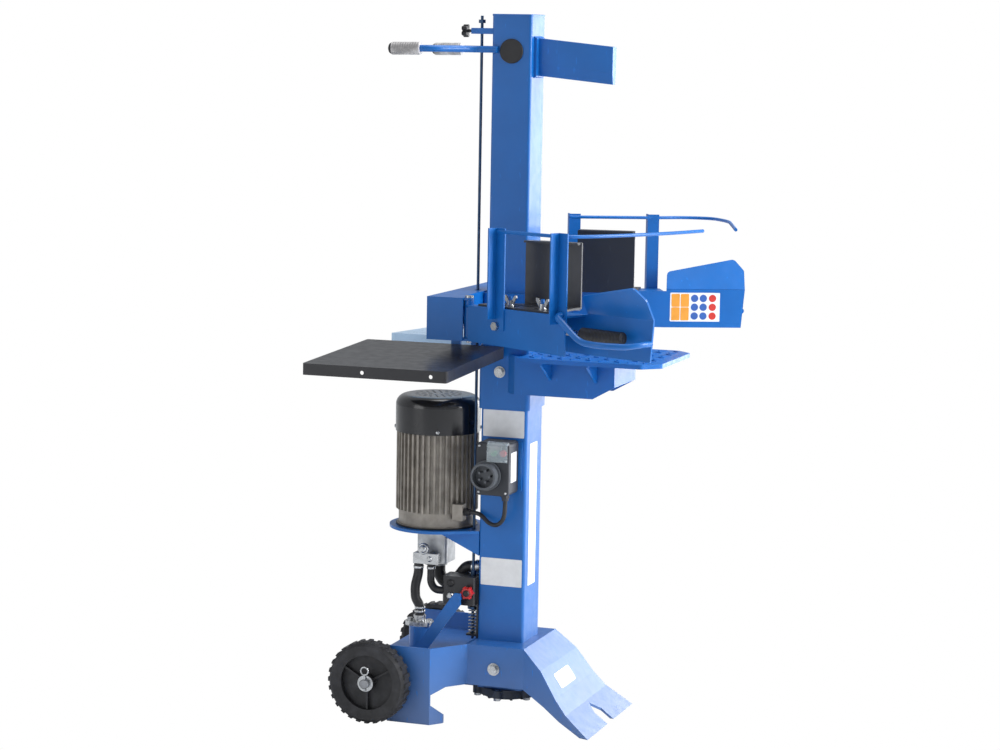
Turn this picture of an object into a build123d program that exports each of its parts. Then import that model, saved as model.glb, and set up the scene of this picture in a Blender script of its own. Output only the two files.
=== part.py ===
from build123d import *
from math import atan2, cos, degrees, hypot, pi, radians, sin, tan
import os

# Vertical log splitter: a hydraulic cylinder inside a fixed column pushes a square mast up,
# the wedge on the mast comes down on the log that stands on the table.
# X runs forward from the column to the log, Y runs across, Z is up. Millimetres.

# ---------------------------------------------------------------- driving dimensions
mast_top = 1460.0            # top of the raised mast above the ground
stroke = 470.0               # travel of the mast
column_w = 101.0             # fixed outer column, square tube
column_wall = 4.0
column_bottom = 58.0
column_top = 890.0
mast_w = 85.0                # sliding mast, square tube
mast_wall = 3.0
mast_overlap = 190.0         # length of mast still inside the column when raised
slide_gap = 0.4              # between the mast and its guide pads

rear_reach = 319.0           # from the column's axis back to the tread of the wheels
front_reach = 456.0          # from the column's axis to the tip of the longer guard rod
column_x = (rear_reach - front_reach) / 2

wheel_r = 86.5
wheel_w = 38.0
axle_d = 20.0
axle_x = wheel_r - rear_reach
wheel_inner_y = 183.0

base_h = 161.0               # top of the base plates
base_t = 4.0                 # base sheet
base_front_y = 105.0         # half width of the base beside the column
base_rear_y = 178.0          # half width of the base at the wheels
foot_reach = 230.0           # front foot, from the column's axis
foot_half = 160.0            # half width of the front foot on the ground

table_z = 770.0              # top of the splitting table
table_front = 352.0
table_half = 140.0
table_t = 5.0
table_lip = 9.0

collar_top = 782.0
collar_bottom = 650.0
collar_t = 5.0

beam_top = 893.0             # cross beam behind the column, which carries both arms
beam_h = 87.0
beam_half = 207.0
beam_rear = -114.0
beam_front = -37.0           # the beam's ends reach past the rear face of the column
beam_t = 4.0

hinge_x = -28.0              # vertical hinge of each arm
hinge_y = 193.0
hinge_d = 10.0
splay = 25.0                 # degrees that each arm opens outwards
arm_top = 880.0
arm_h = 78.0
arm_len = 264.0
arm_start = 18.0             # from the hinge to the rear end of the arm
arm_out = 21.5               # outer face of the arm, outwards from the hinge
arm_w = 62.0
arm_t = 4.0
pivot_u = 96.0               # pivot of the control lever along the arm
pivot_z = 845.0
lever_drop = 12.0            # degrees that a control lever moves down

motor_x = -164.0
motor_r = 87.0
motor_plate_top = 390.0
motor_plate_t = 6.0

rod_x = -69.0                # control rod from the mast's stop down to the valve
rod_y = -30.0
rod_d = 6.0

barrel_d = 62.0
bore_d = 50.0
piston_rod_d = 30.0
barrel_bottom = 88.0
barrel_floor = 148.0
barrel_top = 672.0
piston_h = 30.0
rod_pin_z = 1385.0
suction_z = 302.0
suction_r = 14.0
suction_y = 3.0
notch_half = 30.0            # slot in the column's front wall that the wedge's root drops into
notch_low = 855.0

running = 0.05               # radial clearance of shafts in their holes
clear = 0.5                  # gap between pieces that pass each other

# ---------------------------------------------------------------- helpers
SIDES = (("near", -1), ("far", 1))
os.makedirs("parts", exist_ok=True)


def save(builder, name):
    builder.part.label = name
    export_step(builder.part, f"parts/{name}.step")


def level(z, x=0.0, y=0.0):
    """Horizontal plane at height z, measured from the column's axis."""
    return Plane(origin=(column_x + x, y, z))


def side_plane(y, x=0.0, z=0.0):
    """Upright plane along the machine: local x is forward, local y is up, it faces -Y."""
    return Plane(origin=(column_x + x, y, z), x_dir=(1, 0, 0), z_dir=(0, -1, 0))


def front_plane(x, y=0.0, z=0.0):
    """Upright plane across the machine: local x is +Y, local y is up, it faces forward."""
    return Plane(origin=(column_x + x, y, z), x_dir=(0, 1, 0), z_dir=(1, 0, 0))


def at(x, y, z):
    return Vector(column_x + x, y, z)


def rail(points, radii):
    return FilletPolyline(*points, radius=radii)


def arc_radii(points):
    """Largest even arcs for a route: 0.45 of the shorter run over the tangent of half the turn."""
    radii = []
    for before, here, after in zip(points, points[1:], points[2:]):
        turn = radians((here - before).get_angle(after - here))
        run = min((here - before).length, (after - here).length)
        radii.append(0.45 * run / tan(turn / 2))
    return radii


# Frames that follow one arm: u runs out along the arm, v points outwards from the machine.
def arm_dir(side, angle=splay):
    return Vector(cos(radians(angle)), side * sin(radians(angle)), 0)


def arm_point(side, u, v, z):
    e_u = arm_dir(side)
    e_v = Vector(-side * e_u.Y, side * e_u.X, 0) if side > 0 else Vector(e_u.Y, -e_u.X, 0)
    return at(hinge_x, side * hinge_y, z) + e_u * u + e_v * v


def arm_plan(side, z):
    """Horizontal plane at the hinge; local x is u and local y is v on the far side, -v on the near."""
    return Plane(origin=arm_point(side, 0, 0, z), x_dir=arm_dir(side), z_dir=(0, 0, 1))


def arm_side(side, v):
    """Upright plane along the arm: local x is u, local y is up, it faces -Y."""
    normal = arm_dir(side).cross(Vector(0, 0, 1))
    return Plane(origin=arm_point(side, 0, v, 0), x_dir=arm_dir(side), z_dir=normal)


# ================================================================ base
def bent_side(side, x0, x1):
    """Plan outline of the bent base sheet: wide at the wheels, narrow at the column."""
    fold_rear, fold_front = -108.0, -52.0
    outer = [(x0, base_rear_y), (fold_rear, base_rear_y), (fold_front, base_front_y), (x1, base_front_y)]
    inner = [(x1, base_front_y - base_t), (fold_front - 2, base_front_y - base_t),
             (fold_rear - 2, base_rear_y - base_t), (x0, base_rear_y - base_t)]
    return [(x, side * y) for x, y in outer + inner]


base_rear_x = axle_x - 30
base_front_x = 71.0
deck_rear_x = -52.0
anchor_x = 6.0
anchor_z = 113.0
anchor_d = 16.0
low_edge = 76.0
port_x = -176.0              # oil port that the return hose is flanged to
port_y = -62.0
port_top = 182.0
across = 2 * base_rear_y + 20
with BuildPart() as base_frame:
    for name, side in SIDES:
        with BuildSketch(level(0)):
            Polygon(*bent_side(side, base_rear_x, base_front_x), align=None)
        extrude(amount=base_h)
    with BuildSketch(side_plane(across / 2)):
        with BuildLine():
            Polyline((-88, -1), (-88, 17), (-108, 40), (-108, 62), (-84, low_edge), (90, low_edge), (90, -1),
                     (-88, -1))
        make_face()
        Polygon((base_rear_x - 1, -1), (axle_x + 32, -1), (axle_x + 4, 34), (base_rear_x - 1, 60), align=None)
        with Locations((axle_x, wheel_r)):
            Circle(axle_d / 2 + running)
        with Locations((anchor_x, anchor_z)):
            Circle(anchor_d / 2 + running)
    extrude(amount=across, mode=Mode.SUBTRACT)
    for z in (base_h - base_t, low_edge + 6):
        with BuildSketch(level(z)):
            with Locations(((base_front_x + deck_rear_x) / 2, 0)):
                Rectangle(base_front_x - deck_rear_x, 2 * base_front_y - base_t)
            Rectangle(column_w, column_w, mode=Mode.SUBTRACT)
        extrude(amount=base_t)
    # cross plate between the wheels, with the oil port standing on it
    with BuildSketch(level(low_edge + 44)):
        with Locations(((base_rear_x + 8 - 112) / 2, 0)):
            Rectangle(-112 - base_rear_x - 8, 2 * base_rear_y - base_t)
    extrude(amount=base_t)
    with BuildSketch(level(low_edge + 44, x=port_x, y=port_y)):
        Circle(22)
    extrude(amount=port_top - low_edge - 44)
    # flat bar that braces the valve block
    with BuildSketch(side_plane(-84)):
        Polygon((-188, low_edge + 45), (-160, low_edge + 45), (-76, 238), (-76, 262), (-90, 262), align=None)
    extrude(amount=5)
    with BuildSketch(side_plane(-62, x=-88, z=247)):
        Circle(6)
    extrude(amount=24)
save(base_frame, "base_frame")

# Front foot: a sheet that slopes to the ground and widens, with its sides folded down.
foot_t = 4.0
foot_profile = [(base_front_x, base_h), (114.0, 122.0), (150.0, 70.0), (176.0, 40.0), (foot_reach, 0.0)]
flare = degrees(atan2(foot_half - base_front_y, foot_reach - base_front_x))
with BuildPart() as front_foot:
    with BuildSketch(side_plane(foot_half + 20)):
        inner = [(x - foot_t / 2, z - foot_t) for x, z in foot_profile[1:-1]]
        Polygon(*foot_profile, (foot_reach - 2 * foot_t, 0), *inner[::-1], (base_front_x, base_h - 1.2 * foot_t),
                align=None)
    extrude(amount=2 * (foot_half + 20))
    with BuildSketch(level(-1, x=foot_reach)):
        Polygon((-48, 0), (-28, -22), (2, -22), (2, 22), (-28, 22), align=None)
    extrude(amount=base_h, mode=Mode.SUBTRACT)
    for name, side in SIDES:
        wing = Plane(origin=at(base_front_x, side * (base_front_y - 2), 0),
                     x_dir=(cos(radians(flare)), side * sin(radians(flare)), 0),
                     z_dir=(side * sin(radians(flare)), -cos(radians(flare)), 0))
        with BuildSketch(wing):
            run = 1 / cos(radians(flare))
            top = [((x - base_front_x) * run, z - foot_t / 2) for x, z in foot_profile[:-1]]
            low = [((foot_reach - base_front_x - 6) * run, 0), (140 * run, 0), (90 * run, 24), (52 * run, 48),
                   (0, low_edge)]
            Polygon(*top, *low, align=None)
        extrude(amount=foot_t / 2, both=True)
    with BuildSketch(level(-1)):
        Polygon((base_front_x, -base_front_y), (foot_reach + 1, -foot_half), (foot_reach + 1, foot_half),
                (base_front_x, base_front_y), align=None)
    extrude(amount=base_h + 2, mode=Mode.INTERSECT)
save(front_foot, "front_foot")

# Column and what holds it to the base.
box_x0 = -38.0
box_x1 = 34.0
box_z0 = 478.0
box_z1 = 588.0
box_y0 = column_w / 2 + 3
box_y1 = 112.0
box_t = 3.0
inlet_x = -14.0
inlet_z = 520.0
inlet_r = 27.0
with BuildPart() as column:
    with BuildSketch(level(column_bottom)):
        RectangleRounded(column_w, column_w, 6)
        RectangleRounded(column_w - 2 * column_wall, column_w - 2 * column_wall, 2.5, mode=Mode.SUBTRACT)
    extrude(amount=column_top - column_bottom)
    with BuildSketch(side_plane(120)):
        with Locations((anchor_x, anchor_z)):
            Circle(anchor_d / 2 + running)
    extrude(amount=240, mode=Mode.SUBTRACT)
    with BuildSketch(front_plane(-60)):
        with Locations((suction_y, suction_z)):
            Circle(suction_r)
    extrude(amount=20, mode=Mode.SUBTRACT)
    with BuildSketch(front_plane(40)):
        with Locations((0, notch_low + 40)):
            Rectangle(2 * notch_half, 80)
    extrude(amount=20, mode=Mode.SUBTRACT)
    # plate that the switch box is screwed to
    with BuildSketch(side_plane(-column_w / 2)):
        with Locations(((box_x0 + box_x1) / 2 + 3, (box_z0 + box_z1) / 2)):
            RectangleRounded(box_x1 - box_x0 + 10, box_z1 - box_z0 - 6, 4)
    extrude(amount=3)
save(column, "column")

# Round ribbed cover that closes the foot of the oil-filled column.
cover_r = 62.0
cover_z = 34.0
with BuildPart() as bottom_cover:
    with BuildSketch(level(cover_z + 8)):
        Circle(cover_r)
    extrude(amount=column_bottom - cover_z - 8)
    with BuildSketch(level(cover_z + 2)):
        Circle(cover_r - 12)
    extrude(amount=6)
    with BuildSketch(level(cover_z)):
        with PolarLocations(0, 12):
            with Locations((cover_r / 2 - 4, 0)):
                Rectangle(cover_r - 14, 5)
        Circle(14)
    extrude(amount=8)
    with BuildSketch(level(cover_z + 8)):
        with PolarLocations(cover_r, 6, start_angle=30):
            Circle(11)
    extrude(amount=column_bottom - cover_z - 8)
    with BuildSketch(level(cover_z)):
        with PolarLocations(cover_r + 1, 6, start_angle=30):
            Circle(4.2)
    extrude(amount=40, mode=Mode.SUBTRACT)
save(bottom_cover, "bottom_cover")

# ================================================================ wheels
rim_r = 62.0
for name, side in SIDES:
    y0 = wheel_inner_y
    y1 = wheel_inner_y + wheel_w
    with BuildPart() as wheel:
        with BuildSketch(Plane(origin=at(axle_x, 0, wheel_r), x_dir=(1, 0, 0), z_dir=(0, 0, 1))):
            Polygon((rim_r - 5, y0 + 4), (rim_r, y0 + 3), (rim_r + 10, y0 + 1), (wheel_r - 9, y0),
                    (wheel_r - 3, y0 + 6), (wheel_r - 3, y1 - 6), (wheel_r - 9, y1), (rim_r + 10, y1 - 1),
                    (rim_r, y1 - 3), (rim_r - 5, y1 - 4), align=None)
        revolve(axis=Axis(at(axle_x, 0, wheel_r), (0, 1, 0)), revolution_arc=360)
        # tread lugs
        with BuildSketch(side_plane(y1 - 5, x=axle_x, z=wheel_r)):
            with PolarLocations(wheel_r - 4.5, 28):
                Rectangle(9, 9)
            Circle(wheel_r - 4, mode=Mode.SUBTRACT)
        extrude(amount=wheel_w - 10)
        with BuildSketch(side_plane(y1, x=axle_x, z=wheel_r)):
            Circle(wheel_r)
        extrude(amount=wheel_w, mode=Mode.INTERSECT)
        # web, hub and ribs
        with BuildSketch(side_plane((y0 + y1) / 2 + 3, x=axle_x, z=wheel_r)):
            Circle(rim_r - 4)
        extrude(amount=6)
        with BuildSketch(side_plane(y1, x=axle_x, z=wheel_r)):
            Circle(17)
        extrude(amount=wheel_w)
        with BuildSketch(side_plane(y1 - 7, x=axle_x, z=wheel_r)):
            with PolarLocations(0, 3, start_angle=30):
                with Locations((36, 0)):
                    Rectangle(46, 4)
        extrude(amount=wheel_w - 14)
        with BuildSketch(side_plane(y1 + 1, x=axle_x, z=wheel_r)):
            Circle(axle_d / 2 + running)
        extrude(amount=wheel_w + 2, mode=Mode.SUBTRACT)
        if side < 0:
            mirror(about=Plane.XZ, mode=Mode.REPLACE)
    save(wheel, f"wheel_{name}")

wheel_outer_y = wheel_inner_y + wheel_w
axle_half = wheel_outer_y + 12
with BuildPart() as axle:
    with BuildSketch(side_plane(axle_half, x=axle_x, z=wheel_r)):
        Circle(axle_d / 2)
    extrude(amount=2 * axle_half)
    chamfer(axle.edges().filter_by(GeomType.CIRCLE), 1.5)
    for side in (-1, 1):
        with BuildSketch(level(wheel_r - 20, x=axle_x, y=side * (axle_half - 5))):
            Circle(1.8 + running)
        extrude(amount=40, mode=Mode.SUBTRACT)
save(axle, "axle")

# Washer on each wheel and the R-clip through the axle's end.
clip_y = axle_half - 5
clip_r = 1.8
with BuildPart() as axle_clips:
    for side in (-1, 1):
        with BuildSketch(side_plane(side * (wheel_outer_y + clear), x=axle_x, z=wheel_r)):
            Circle(17)
            Circle(axle_d / 2 + running, mode=Mode.SUBTRACT)
        extrude(amount=-side * 2.5)
        with BuildSketch(level(wheel_r - 15, x=axle_x, y=side * clip_y)):
            Circle(clip_r)
        extrude(amount=36)
        with BuildSketch(level(wheel_r + 27, x=axle_x, y=side * clip_y)):
            with Locations((8, 0)):
                Circle(clip_r)
        revolve(axis=Axis(at(axle_x, side * clip_y, wheel_r + 27), (0, 1, 0)))
save(axle_clips, "axle_clips")

# ================================================================ cylinder, mast and wedge
mast_bottom = column_top - mast_overlap
pin_d = 20.0
clamp_r = 3.0
stop_z = 1419.0              # bracket behind the mast that slides along the control rod
with BuildPart() as mast:
    with BuildSketch(level(mast_bottom)):
        RectangleRounded(mast_w, mast_w, 5)
    extrude(amount=mast_top - 4 - mast_bottom)
    with BuildSketch(level(mast_top - 4)):
        RectangleRounded(mast_w + 2, mast_w + 2, 6)
    extrude(amount=4)
    fillet(mast.edges().group_by(Axis.Z)[-1], 1.5)
    with BuildSketch(level(mast_bottom)):
        RectangleRounded(mast_w - 2 * mast_wall, mast_w - 2 * mast_wall, 2)
    extrude(amount=mast_top - 4 - mast_bottom, mode=Mode.SUBTRACT)
    # housings of the pin that the piston rod's eye hangs on
    for side in (-1, 1):
        with BuildSketch(side_plane(side * mast_w / 2, z=rod_pin_z)):
            Circle(22)
        extrude(amount=side * (mast_w / 2 - 19))
    with BuildSketch(side_plane(mast_w, z=rod_pin_z)):
        Circle(pin_d / 2 + running)
    extrude(amount=2 * mast_w, mode=Mode.SUBTRACT)
    with BuildSketch(level(stop_z)):
        Polygon((1 - mast_w / 2, -40), (1 - mast_w / 2, -12), (rod_x - 20, -18), (rod_x - 20, -40), align=None)
        with Locations((rod_x, rod_y)):
            Circle(rod_d / 2 + clear, mode=Mode.SUBTRACT)
    extrude(amount=12)
    with BuildSketch(front_plane(rod_x - 21, y=rod_y, z=stop_z + 6)):
        Circle(clamp_r + running)
    extrude(amount=21, mode=Mode.SUBTRACT)
save(mast, "mast")

with BuildPart() as rod_pin:
    with BuildSketch(side_plane(mast_w / 2 - 2, z=rod_pin_z)):
        Circle(pin_d / 2)
    extrude(amount=mast_w - 4)
    chamfer(rod_pin.edges().filter_by(GeomType.CIRCLE), 1)
save(rod_pin, "rod_pin")

with BuildPart() as pin_plugs:
    for side in (-1, 1):
        with BuildSketch(side_plane(side * mast_w / 2, z=rod_pin_z)):
            Circle(25)
        extrude(amount=-side * 3.5)
    fillet(pin_plugs.faces().sort_by(Axis.Y)[0].edges(), 1.6)
    fillet(pin_plugs.faces().sort_by(Axis.Y)[-1].edges(), 1.6)
save(pin_plugs, "pin_plugs")

piston_z = barrel_top - 22 - piston_h
with BuildPart() as piston_rod:
    with BuildSketch(level(piston_z)):
        Circle(11)
    extrude(amount=piston_h)
    with BuildSketch(level(piston_z + piston_h)):
        Circle(piston_rod_d / 2)
    extrude(amount=rod_pin_z - 14 - piston_z - piston_h)
    with BuildSketch(side_plane(17, z=rod_pin_z)):
        Circle(19)
    extrude(amount=34)
    with BuildSketch(side_plane(18, z=rod_pin_z)):
        Circle(pin_d / 2 + running)
    extrude(amount=36, mode=Mode.SUBTRACT)
save(piston_rod, "piston_rod")

groove = 4.0
with BuildPart() as piston:
    with BuildSketch(level(piston_z)):
        Circle(bore_d / 2 - running)
        Circle(11, mode=Mode.SUBTRACT)
    extrude(amount=piston_h)
    for z in (6, 20):
        with BuildSketch(level(piston_z + z)):
            Circle(bore_d / 2)
            Circle(bore_d / 2 - 3, mode=Mode.SUBTRACT)
        extrude(amount=groove, mode=Mode.SUBTRACT)
save(piston, "piston")

with BuildPart() as piston_seals:
    for z in (6, 20):
        with BuildSketch(level(piston_z + z)):
            Circle(bore_d / 2 - running)
            Circle(bore_d / 2 - 3, mode=Mode.SUBTRACT)
        extrude(amount=groove)
save(piston_seals, "piston_seals")

with BuildPart() as barrel:
    with BuildSketch(level(barrel_bottom)):
        Circle(barrel_d / 2)
    extrude(amount=barrel_top - barrel_bottom)
    with BuildSketch(level(barrel_floor)):
        Circle(bore_d / 2)
    extrude(amount=barrel_top, mode=Mode.SUBTRACT)
    with BuildSketch(side_plane(60)):
        with Locations((anchor_x, anchor_z)):
            Circle(anchor_d / 2 + running)
    extrude(amount=120, mode=Mode.SUBTRACT)
save(barrel, "barrel")

with BuildPart() as gland:
    with BuildSketch(level(barrel_top - 20)):
        Circle(bore_d / 2)
    extrude(amount=20)
    with BuildSketch(level(barrel_top)):
        Circle(barrel_d / 2)
    extrude(amount=14)
    with BuildSketch(level(barrel_top - 20)):
        Circle(piston_rod_d / 2 + running)
    extrude(amount=34, mode=Mode.SUBTRACT)
save(gland, "gland")

# Plastic pads that guide the mast in the column, at two heights above each other.
pad_t = (column_w - mast_w) / 2 - column_wall - slide_gap
with BuildPart() as guide_pads:
    for z in (notch_low - 55, mast_bottom + 8):
        for turn in range(4):
            face = Plane(origin=at(0, 0, z), x_dir=(cos(turn * pi / 2), sin(turn * pi / 2), 0),
                         z_dir=(0, 0, 1))
            with BuildSketch(face):
                with Locations((column_w / 2 - column_wall - pad_t / 2, 0)):
                    Rectangle(pad_t, 56)
            extrude(amount=50)
save(guide_pads, "guide_pads")

wedge_z = 1334.0
wedge_tip = 206.0
wedge_root = mast_w / 2 + 6
# Blade: a sloping plate whose lower third narrows to the edge, with a spreader on top.
wedge_drop = 15.0
wedge_t = 24.0
with BuildPart() as wedge:
    with BuildSketch(side_plane(wedge_t / 2)):
        Polygon((wedge_root, wedge_z + 2), (wedge_tip, wedge_z + 2 - wedge_drop),
                (wedge_tip, wedge_z + 78 - wedge_drop), (wedge_root, wedge_z + 78), align=None)
    extrude(amount=wedge_t)
    with BuildSketch(front_plane(wedge_root - 1)):
        for s in (-1, 1):
            Polygon((s * 0.8, wedge_z - 30), (s * (wedge_t / 2 + 0.01), wedge_z + 26),
                    (s * 40, wedge_z + 26), (s * 40, wedge_z - 30), align=None)
    extrude(amount=wedge_tip, dir=(cos(radians(5.6)), 0, -sin(radians(5.6))), mode=Mode.SUBTRACT)
    with BuildSketch(side_plane(27)):
        Polygon((mast_w / 2, wedge_z - 2), (wedge_root, wedge_z), (wedge_root, wedge_z + 78),
                (mast_w / 2, wedge_z + 82), align=None)
    extrude(amount=54)
save(wedge, "wedge")

# Star knob that clamps the bracket to the control rod.
with BuildPart() as stop_knob:
    with BuildSketch(front_plane(rod_x - rod_d / 2 - 1, y=rod_y, z=stop_z + 6)):
        Circle(clamp_r)
    extrude(amount=-27)
    with BuildSketch(front_plane(rod_x - 30, y=rod_y, z=stop_z + 6)):
        Circle(7)
        with PolarLocations(9, 5):
            Circle(4.5)
    extrude(amount=-11)
    fillet(stop_knob.faces().sort_by(Axis.X)[0].edges(), 1.2)
save(stop_knob, "stop_knob")

# Transport handles behind the mast.
handle_z = 1388.0
grip_z = 1387.0
handle_d = 14.0
grip_len = 56.0
with BuildPart() as push_handles:
    for side in (-1, 1):
        route = [at(-29, side * (mast_w / 2 + 5), handle_z), at(-82, side * (mast_w / 2 + 5), handle_z),
                 at(-142, side * 121, grip_z + 1), at(-224, side * 124, grip_z)]
        with BuildLine() as handle_line:
            rail(route, [30, 45])
        with BuildSketch(Plane(origin=handle_line.line @ 0, z_dir=handle_line.line % 0)):
            Circle(handle_d / 2)
        sweep()
    with BuildSketch(level(handle_z - 20)):
        Rectangle(mast_w, mast_w)
    extrude(amount=40, mode=Mode.SUBTRACT)
save(push_handles, "push_handles")

with BuildPart() as handle_grips:
    for side in (-1, 1):
        tip = at(-224, side * 124, grip_z)
        back = at(-142, side * 121, grip_z + 1)
        way = (tip - back).normalized()
        with BuildSketch(Plane(origin=tip + way * 4, z_dir=-way)):
            Circle(handle_d / 2 + 6)
        extrude(amount=grip_len + 4)
        with BuildSketch(Plane(origin=tip, z_dir=-way)):
            Circle(handle_d / 2)
        extrude(amount=grip_len, mode=Mode.SUBTRACT)
save(handle_grips, "handle_grips")

# ================================================================ collar, console and table
collar_out = column_w + 2 * collar_t
collar_bolt_x = -9.0
collar_bolt_z = 728.0
washer_t = 2.0
with BuildPart() as collar:
    with BuildSketch(level(collar_bottom)):
        RectangleRounded(collar_out, collar_out, 9)
        RectangleRounded(column_w + 0.2, column_w + 0.2, 6, mode=Mode.SUBTRACT)
    extrude(amount=collar_top - collar_bottom)
    with BuildSketch(side_plane(100)):
        with Locations((collar_bolt_x, collar_bolt_z)):
            Circle(6 + running)
    extrude(amount=200, mode=Mode.SUBTRACT)
save(collar, "collar")

def bolt_heads(side, y, x, z, washer, head):
    """Sketches of a washer and of a hexagon head that stand on an upright face at distance y."""
    with BuildSketch(side_plane(side * y, x=x, z=z)) as disc:
        Circle(washer)
    with BuildSketch(side_plane(side * (y + washer_t), x=x, z=z)) as hexagon:
        RegularPolygon(head, 6)
    return disc.sketch, hexagon.sketch


with BuildPart() as frame_bolts:
    reach = base_front_y + 1
    with BuildSketch(side_plane(reach, x=anchor_x, z=anchor_z)):
        Circle(anchor_d / 2)
    extrude(amount=2 * reach)
    for side in (-1, 1):
        disc, hexagon = bolt_heads(side, base_front_y, anchor_x, anchor_z, 13, 10)
        extrude(disc, amount=-side * washer_t)
        extrude(hexagon, amount=-side * 9)
        with BuildSketch(side_plane(side * (column_w / 2 + 0.3), x=collar_bolt_x, z=collar_bolt_z)):
            Circle(6)
        extrude(amount=-side * collar_t)
        disc, hexagon = bolt_heads(side, collar_out / 2, collar_bolt_x, collar_bolt_z, 12, 9.5)
        extrude(disc, amount=-side * washer_t)
        extrude(hexagon, amount=-side * 7)
    with BuildSketch(level(cover_z + 2)):
        with PolarLocations(cover_r + 1, 6, start_angle=30):
            RegularPolygon(7.5, 6)
    extrude(amount=6)
    with BuildSketch(level(cover_z + 8)):
        with PolarLocations(cover_r + 1, 6, start_angle=30):
            Circle(4.0)
    extrude(amount=column_bottom - cover_z - 8)
save(frame_bolts, "frame_bolts")

console_half = 75.0
console_front = 244.0
console_low = 686.0
console_t = 5.0
table_under = table_z - table_t
with BuildPart() as console:
    for side in (-1, 1):
        with BuildSketch(side_plane(side * console_half)):
            Polygon((30, console_low), (198, console_low), (console_front, 712), (console_front, table_under),
                    (30, table_under), align=None)
        extrude(amount=side * console_t)
        with BuildSketch(level(console_low, x=30)):
            Polygon((0, side * console_half), (0, side * (console_half - console_t)),
                    (-14, side * collar_out / 2), (-20, side * collar_out / 2), align=None)
        extrude(amount=table_under - console_low)
    with BuildSketch(front_plane(console_front)):
        with Locations((0, (712 + table_under) / 2)):
            Rectangle(2 * console_half, table_under - 712)
    extrude(amount=-console_t)
save(console, "console")

tread_h = 1.6
table_rear = collar_out / 2 + 0.5
with BuildPart() as table:
    with BuildSketch(level(table_under)) as table_outline:
        with BuildLine():
            FilletPolyline((table_rear, -table_half), (table_front - 34, -table_half), (table_front, -table_half + 34),
                           (table_front, table_half - 34), (table_front - 34, table_half), (table_rear, table_half),
                           radius=8)
            Line((table_rear, table_half), (table_rear, -table_half))
        make_face()
    extrude(amount=table_t)
    with BuildSketch(level(table_z - table_lip)):
        with BuildLine():
            FilletPolyline((table_rear, -table_half), (table_front - 34, -table_half), (table_front, -table_half + 34),
                           (table_front, table_half - 34), (table_front - 34, table_half), (table_rear, table_half),
                           radius=8)
            Line((table_rear, table_half), (table_rear, -table_half))
        make_face()
        offset(amount=-4, mode=Mode.SUBTRACT)
        with Locations((table_rear, 0)):
            Rectangle(20, 2 * table_half - 20, mode=Mode.SUBTRACT)
    extrude(amount=table_lip - table_t)
    # raised bars of the tread plate, crosswise by turns
    with BuildSketch(level(table_z)):
        for row in range(9):
            for col in range(9):
                place = Location((80 + col * 30, -114 + row * 28.5, 0), (0, 0, 45 if (row + col) % 2 else -45))
                with Locations(place):
                    SlotOverall(20, 5)
        with Locations((table_front - 14, table_half - 14), (table_front - 14, 14 - table_half)):
            Rectangle(46, 46, rotation=45, mode=Mode.SUBTRACT)
    extrude(amount=tread_h)
    for side in (-1, 1):
        for x in (104.0, 202.0):
            with BuildSketch(front_plane(x)):
                Polygon((side * console_half, table_under), (side * (table_half - 4), table_under),
                        (side * (table_half - 4), table_under - 8), (side * console_half, table_under - 46),
                        align=None)
            extrude(amount=5)
save(table, "table")

# ================================================================ cross beam, arms and jaws
shelf_z = 782.0
shelf_drop = 14.0            # how far the outer edge hangs lower
shelf_inner = 66.0
shelf_outer = 404.0
shelf_rear = -300.0
shelf_front = 4.0
shelf_h = 23.0
shelf_t = 2.0
beam_low = beam_top - beam_h
ear_t = 5.0
end_len = 60.0               # length of each end of the beam that reaches past the column


def beam_outline(inset):
    """Plan of the beam, a long box with both ends reaching forward past the column."""
    back = beam_rear + inset
    middle = -column_w / 2 - inset
    half = beam_half - inset
    step = beam_half - end_len + inset
    return [(back, -half), (beam_front, -half), (beam_front, -step), (middle, -step), (middle, step),
            (beam_front, step), (beam_front, half), (back, half)]


with BuildPart() as cross_beam:
    with BuildSketch(level(beam_low)):
        Polygon(*beam_outline(0), align=None)
    extrude(amount=beam_h)
    with BuildSketch(level(beam_low - 1)):
        Polygon(*beam_outline(beam_t), align=None)
    extrude(amount=beam_h - beam_t + 1, mode=Mode.SUBTRACT)
    with BuildSketch(level(beam_low, x=rod_x, y=rod_y)):
        Circle(8)
    extrude(amount=beam_h + 1, mode=Mode.SUBTRACT)
    for side in (-1, 1):
        for z in (beam_top - ear_t, beam_low):
            with BuildSketch(level(z, x=hinge_x, y=side * hinge_y)):
                with Locations((-12, 0)):
                    Rectangle(24, 20)
                Circle(10)
                Circle(hinge_d / 2 + running, mode=Mode.SUBTRACT)
            extrude(amount=ear_t)
    with BuildSketch(level(beam_low)):
        for side in (-1, 1):
            with Locations((hinge_x, side * hinge_y)):
                Circle(hinge_d / 2 + running)
    extrude(amount=beam_h + 1, mode=Mode.SUBTRACT)
    # bar under the beam that carries both shelves, on two upright straps
    bar_half = shelf_inner + 150
    with BuildSketch(level(shelf_z - 40, x=beam_rear + 10)):
        Rectangle(20, 2 * bar_half)
    extrude(amount=14)
    for side in (-1, 1):
        with BuildSketch(level(shelf_z - 40, x=beam_rear + 10, y=side * (shelf_inner - 6))):
            Rectangle(20, 8)
        extrude(amount=beam_top - beam_t - shelf_z + 40)
save(cross_beam, "cross_beam")

with BuildPart() as hinge_pins:
    for side in (-1, 1):
        with BuildSketch(level(beam_low - 4, x=hinge_x, y=side * hinge_y)):
            Circle(hinge_d / 2)
        extrude(amount=beam_h + 4)
        with BuildSketch(level(beam_top, x=hinge_x, y=side * hinge_y)):
            Circle(9)
        extrude(amount=4)
save(hinge_pins, "hinge_pins")

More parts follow.
